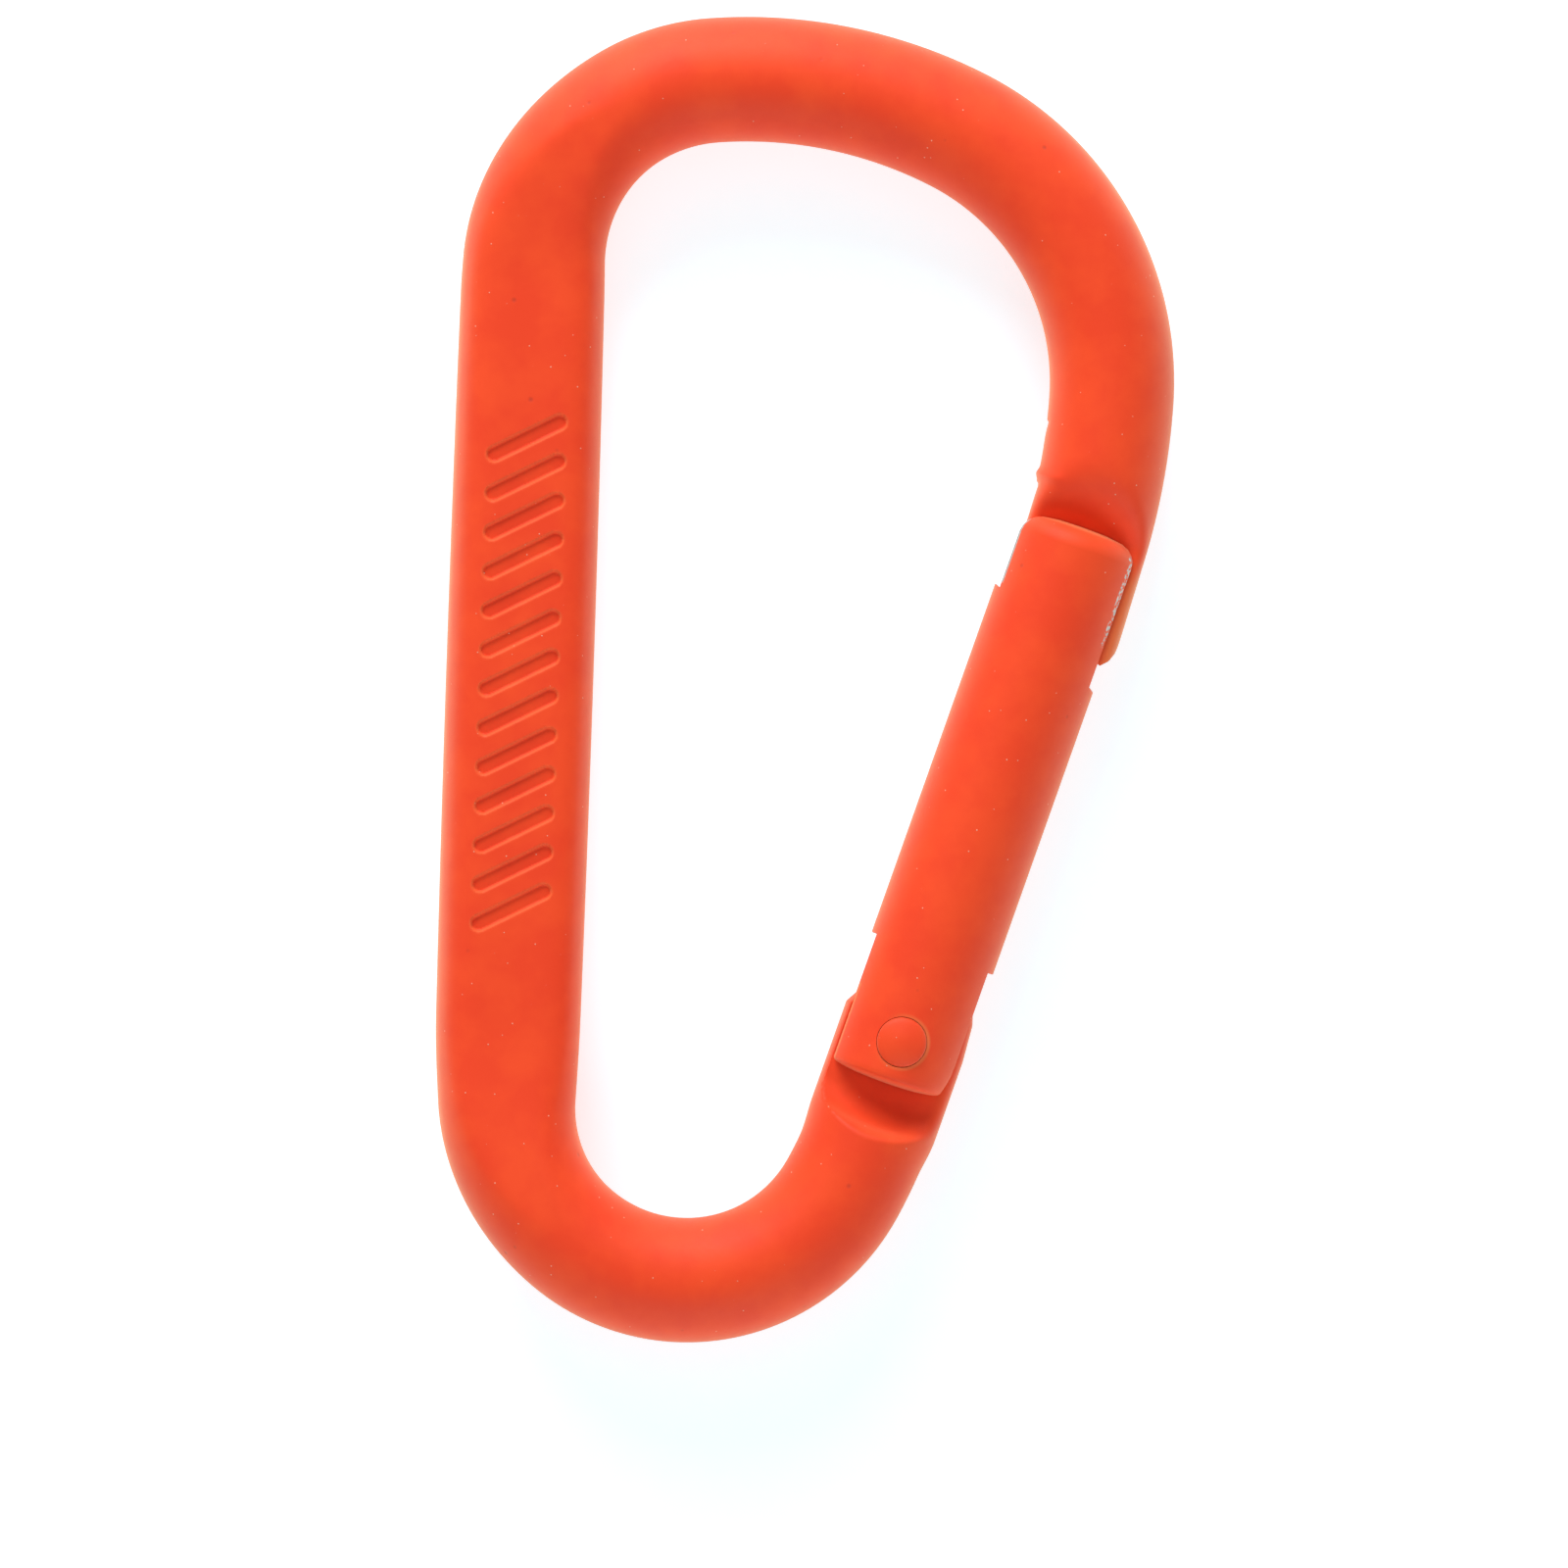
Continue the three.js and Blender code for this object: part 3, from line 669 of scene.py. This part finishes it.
def thin_coat_and_highlight_on_gate(tree, where):
    """Where the gate's colour is paled: thin powder in a ring round the rivet that grows to the outer side
    and along the inner edge of the ears, and a painted highlight on the rim of the nose end."""
    across, along, height = gate_coordinates(tree, where)
    level = add_node(tree, "CombineXYZ", {0: across, 1: along}).outputs["Vector"]
    from_rivet = add_node(tree, "VectorMath", {0: level}, operation="LENGTH").outputs["Value"]
    outward = add_node(
        tree, "MapRange", {"Value": across, "From Min": THIN_RING_FROM, "From Max": THIN_RING_TO}
    ).outputs["Result"]
    whole_ring = patch(tree, (from_rivet, THIN_RING))
    ring = add_node(tree, "Math", {0: whole_ring, 1: outward}, operation="MULTIPLY").outputs["Value"]
    lit_nose_rim = patch(tree, (along, HIGHLIGHT_NOSE_RIM))
    inner_edge = patch(tree, (across, INNER_SIDE), (height, THIN_EAR_HEIGHT), (along, THIN_EAR_LENGTH))
    rims = add_node(tree, "Math", {0: lit_nose_rim, 1: inner_edge}, operation="MAXIMUM").outputs["Value"]
    return add_node(tree, "Math", {0: ring, 1: rims}, operation="MAXIMUM").outputs["Value"]


def rubbed_edges(tree, where, tooth, coated):
    """Bare aluminium where the ears' edges rub on the nose tongue: bright grey flecks along the outer edges,
    and a thin bright line along the inner ones."""
    across, along, height = gate_coordinates(tree, where)
    chips = add_node(
        tree, "TexNoise", {"Vector": where, "Scale": grain(0.22), "Detail": 3, "Roughness": 0.7}
    ).outputs["Fac"]
    stretches = add_node(
        tree, "TexNoise", {"Vector": where, "Scale": grain(1.1), "Detail": 1}
    ).outputs["Fac"]
    flecks = patch(
        tree, (height, FLECKS_HEIGHT), (across, OUTER_SIDE), (along, FLECKS_LENGTH),
        (chips, FLECKS_CHIPPED), (stretches, FLECKS_PATCHY),
    )
    line = patch(
        tree, (height, LINE_HEIGHT), (across, INNER_SIDE), (along, LINE_LENGTH), (chips, LINE_CHIPPED)
    )
    bare = add_node(tree, "Math", {0: flecks, 1: line}, operation="MAXIMUM").outputs["Value"]
    grey = add_node(tree, "ValToRGB", {"Fac": tooth})
    grey.color_ramp.elements[0].color = srgb("#9C9288")
    grey.color_ramp.elements[1].color = srgb("#DDD6CC")
    metal = add_node(
        tree, "BsdfPrincipled", {"Base Color": grey.outputs["Color"], "Metallic": 1, "Roughness": 0.4}
    )
    return add_node(
        tree, "MixShader", {0: bare, 1: coated, 2: metal.outputs["BSDF"]}
    ).outputs["Shader"]


gate.data.materials.append(powder_coat("powder_coat_on_gate", thin_coat_and_highlight_on_gate, rubbed_edges))
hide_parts("gate")
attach(gate, "gate")

# --------------------------------------------------------------------------------------------------------
# The hinge rivet. A solid aluminium pin set through the ears and the hinge tongue, with both heads formed to
# low domes by the riveting tool. It is coated together with the gate.
# --------------------------------------------------------------------------------------------------------

RIVET_SIDES = 64
# The upper half as (height, radius): the shank, the head's rim on the spot face, and its dome.
RIVET_PROFILE_UP = [
    (0.0, 1.2), (3.37, 1.2), (3.38, 1.44), (3.42, 1.49), (3.83, 1.49), (3.88, 1.47), (3.95, 1.4),
    (4.04, 1.22), (4.11, 0.97), (4.19, 0.68), (4.24, 0.4), (4.26, 0.2),
]
rivet_profile = [(-height, radius) for height, radius in reversed(RIVET_PROFILE_UP)] + RIVET_PROFILE_UP[1:]
rivet = add_circle("rivet", rivet_profile[0][1], RIVET_SIDES, UP * rivet_profile[0][0], (0, 0, 0))
turn_profile(rivet, rivet_profile, UP)
settle(rivet, gate_frame)
rivet.data.materials.append(powder_coat("powder_coat_on_rivet"))
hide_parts("hinge_rivet")
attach(rivet, "gate")

# --------------------------------------------------------------------------------------------------------
# The plunger. A turned steel pin that slides in the gate's bore: its blunt nose faces the hinge tongue, and
# its thin tail keeps the spring straight.
# --------------------------------------------------------------------------------------------------------

PLUNGER_SIDES = 48
PLUNGER_SHOULDER = 8.0
PLUNGER_PROFILE = [
    (3.85, 0.3), (3.85, 0.85), (3.9, 1.0), (4.02, 1.12), (4.2, 1.19), (4.35, 1.2), (5.6, 1.2), (5.66, 1.14),
    (5.9, 1.14), (5.96, 1.2), (7.94, 1.2), (PLUNGER_SHOULDER, 1.14), (PLUNGER_SHOULDER, 0.66), (8.06, 0.6),
    (11.4, 0.6), (11.52, 0.56), (11.6, 0.45), (11.6, 0.2),
]


def bright_steel(name, dark, light, streak_mm):
    """Steel straight from the tool, bright under a film of oil: fine turning or drawing marks, mostly along
    its length, give it streaks of darker and lighter grey."""
    material = bpy.data.materials.new(name)
    material.use_nodes = True
    tree = material.node_tree
    tree.nodes.clear()
    where = add_node(tree, "TexCoord").outputs["Object"]
    drawn_out = add_node(
        tree, "Mapping", {"Vector": where, "Rotation": (0, 0, gate_lean), "Scale": (1, 0.15, 1)}
    ).outputs["Vector"]
    marks = add_node(
        tree, "TexNoise", {"Vector": drawn_out, "Scale": grain(streak_mm), "Detail": 4, "Roughness": 0.65}
    ).outputs["Fac"]
    tone = add_node(tree, "ValToRGB", {"Fac": marks})
    tone.color_ramp.elements[0].color = srgb(dark)
    tone.color_ramp.elements[1].color = srgb(light)
    gloss = add_node(tree, "MapRange", {"Value": marks, "To Min": 0.22, "To Max": 0.42}).outputs["Result"]
    scratched = add_node(
        tree, "Bump", {"Height": marks, "Strength": 0.3, "Distance": 0.004 * MM}
    ).outputs["Normal"]
    steel = add_node(
        tree, "BsdfPrincipled",
        {"Base Color": tone.outputs["Color"], "Metallic": 1, "Roughness": gloss, "Normal": scratched},
    )
    add_node(tree, "OutputMaterial", {"Surface": steel.outputs["BSDF"]})
    return material


plunger_tip, tip_radius = PLUNGER_PROFILE[0]
plunger = add_circle("plunger_pin", tip_radius, PLUNGER_SIDES, ALONG * plunger_tip, ALONG_TURN)
turn_profile(plunger, PLUNGER_PROFILE, ALONG)
settle(plunger, gate_frame)
plunger.data.materials.append(bright_steel("turned_steel", "#A9ABAE", "#C9CBCD", 0.2))
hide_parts("plunger")
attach(plunger, "plunger")

# --------------------------------------------------------------------------------------------------------
# The gate spring. A compression spring coiled from music wire, in the blind bore between its floor and the
# plunger's shoulder. Its end turns are nearly closed; the open turns between them are built at one length
# here, though in use they shorten with the gate.
# --------------------------------------------------------------------------------------------------------

WIRE_RADIUS, WIRE_SIDES = 0.18, 12
COIL_RADIUS = 0.9
COIL_TURNS = 13
CLOSED_TURNS = 1.5
STEPS_PER_TURN = 24
CLOSED_PITCH = WIRE_RADIUS * 2.3
SEAT_GAP = WIRE_RADIUS + 0.05
coil_start = PLUNGER_SHOULDER + SEAT_GAP
coil_end = BORE_END - SEAT_GAP
open_pitch = (coil_end - coil_start - 2 * CLOSED_TURNS * CLOSED_PITCH) / (COIL_TURNS - 2 * CLOSED_TURNS)
spring = add_circle("coiled_spring", WIRE_RADIUS, WIRE_SIDES, (COIL_RADIUS, coil_start, 0), (0, 0, 0))
for step in range(COIL_TURNS * STEPS_PER_TURN):
    turn = (step + 0.5) / STEPS_PER_TURN
    closed = turn < CLOSED_TURNS or turn > COIL_TURNS - CLOSED_TURNS
    rise = (CLOSED_PITCH if closed else open_pitch) / STEPS_PER_TURN
    bpy.ops.mesh.extrude_edges_move(TRANSFORM_OT_translate={"value": ALONG * rise})
    bpy.ops.transform.rotate(
        value=2 * math.pi / STEPS_PER_TURN, orient_axis="Y", center_override=(0, 0, 0)
    )
close_up()
settle(spring, gate_frame)
spring.data.materials.append(bright_steel("music_wire", "#77797C", "#9A9C9F", 0.12))
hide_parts("gate_spring")
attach(spring, "gate")
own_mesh(spring)

# --------------------------------------------------------------------------------------------------------
# The table top, the light and the camera. A matt board, lit from within to an even white, with a large soft
# light beyond the wide end, a weaker one beyond the small end, white walls, and the camera straight above.
# --------------------------------------------------------------------------------------------------------

BOARD_WIDTH = 2
BOARD_GLOW = 0.64
ROOM_LIGHT = 0.36
SOFTBOX_WIDTH = 0.60
WHITE = (1, 1, 1, 1)
bpy.ops.object.select_all(action="DESELECT")
bpy.ops.mesh.primitive_plane_add(size=BOARD_WIDTH)
sheet = bpy.context.object
sheet.name = "white_sheet"
# Its faintly cool tone takes the orange out of the light that it throws back, and its fibres barely show.
paper = bpy.data.materials.new("matt_white_board")
paper.use_nodes = True
paper_tree = paper.node_tree
paper_tree.nodes.clear()
paper_where = add_node(paper_tree, "TexCoord").outputs["Object"]
fibres = add_node(
    paper_tree, "TexNoise", {"Vector": paper_where, "Scale": grain(1.5), "Detail": 4}
).outputs["Fac"]
paper_tone = add_node(paper_tree, "ValToRGB", {"Fac": fibres})
paper_tone.color_ramp.elements[0].color = srgb("#B4E0EC")
paper_tone.color_ramp.elements[1].color = srgb("#BAE4F0")
board = add_node(
    paper_tree, "BsdfPrincipled",
    {"Base Color": paper_tone.outputs["Color"], "Roughness": 0.9,
     "Emission Color": WHITE, "Emission Strength": BOARD_GLOW},
)
add_node(paper_tree, "OutputMaterial", {"Surface": board.outputs["BSDF"]})
sheet.data.materials.append(paper)

scene = bpy.context.scene
world = bpy.data.worlds.new("white_room")
world.use_nodes = True
walls = world.node_tree.nodes["Background"]
walls.inputs["Color"].default_value = WHITE
walls.inputs["Strength"].default_value = ROOM_LIGHT
scene.world = world


def add_soft_light(name, location, power):
    """A round softbox, turned to face the carabiner."""
    lamp = bpy.data.lights.new(name, "AREA")
    lamp.shape = "DISK"
    lamp.size = SOFTBOX_WIDTH
    lamp.energy = power
    holder = bpy.data.objects.new(name, lamp)
    scene.collection.objects.link(holder)
    holder.location = location
    holder.rotation_euler = (-Vector(location)).to_track_quat("-Z", "Y").to_euler()


add_soft_light("far_softbox", (-0.20, 0.76, 0.40), 8.2)
add_soft_light("near_softbox", (0.10, -0.80, 0.40), 3.0)

# The camera looks straight down, turned a little, so that the carabiner leans a little to the left.
CAMERA_TURN = math.radians(1.93)
CAMERA_MIDDLE = (-1.010 * MM, -6.131 * MM)
VIEW_WIDTH = 94.5 * MM
SENSOR, LENS = 36, 300
camera = bpy.data.objects.new("camera", bpy.data.cameras.new("camera"))
camera.data.sensor_width = SENSOR
camera.data.lens = LENS
camera.location = (*CAMERA_MIDDLE, pivot.z * MM + VIEW_WIDTH * LENS / SENSOR)
camera.rotation_euler = (0, 0, CAMERA_TURN)
camera.data.clip_start = 0.01
scene.collection.objects.link(camera)
scene.camera = camera
scene.view_settings.view_transform = "Standard"
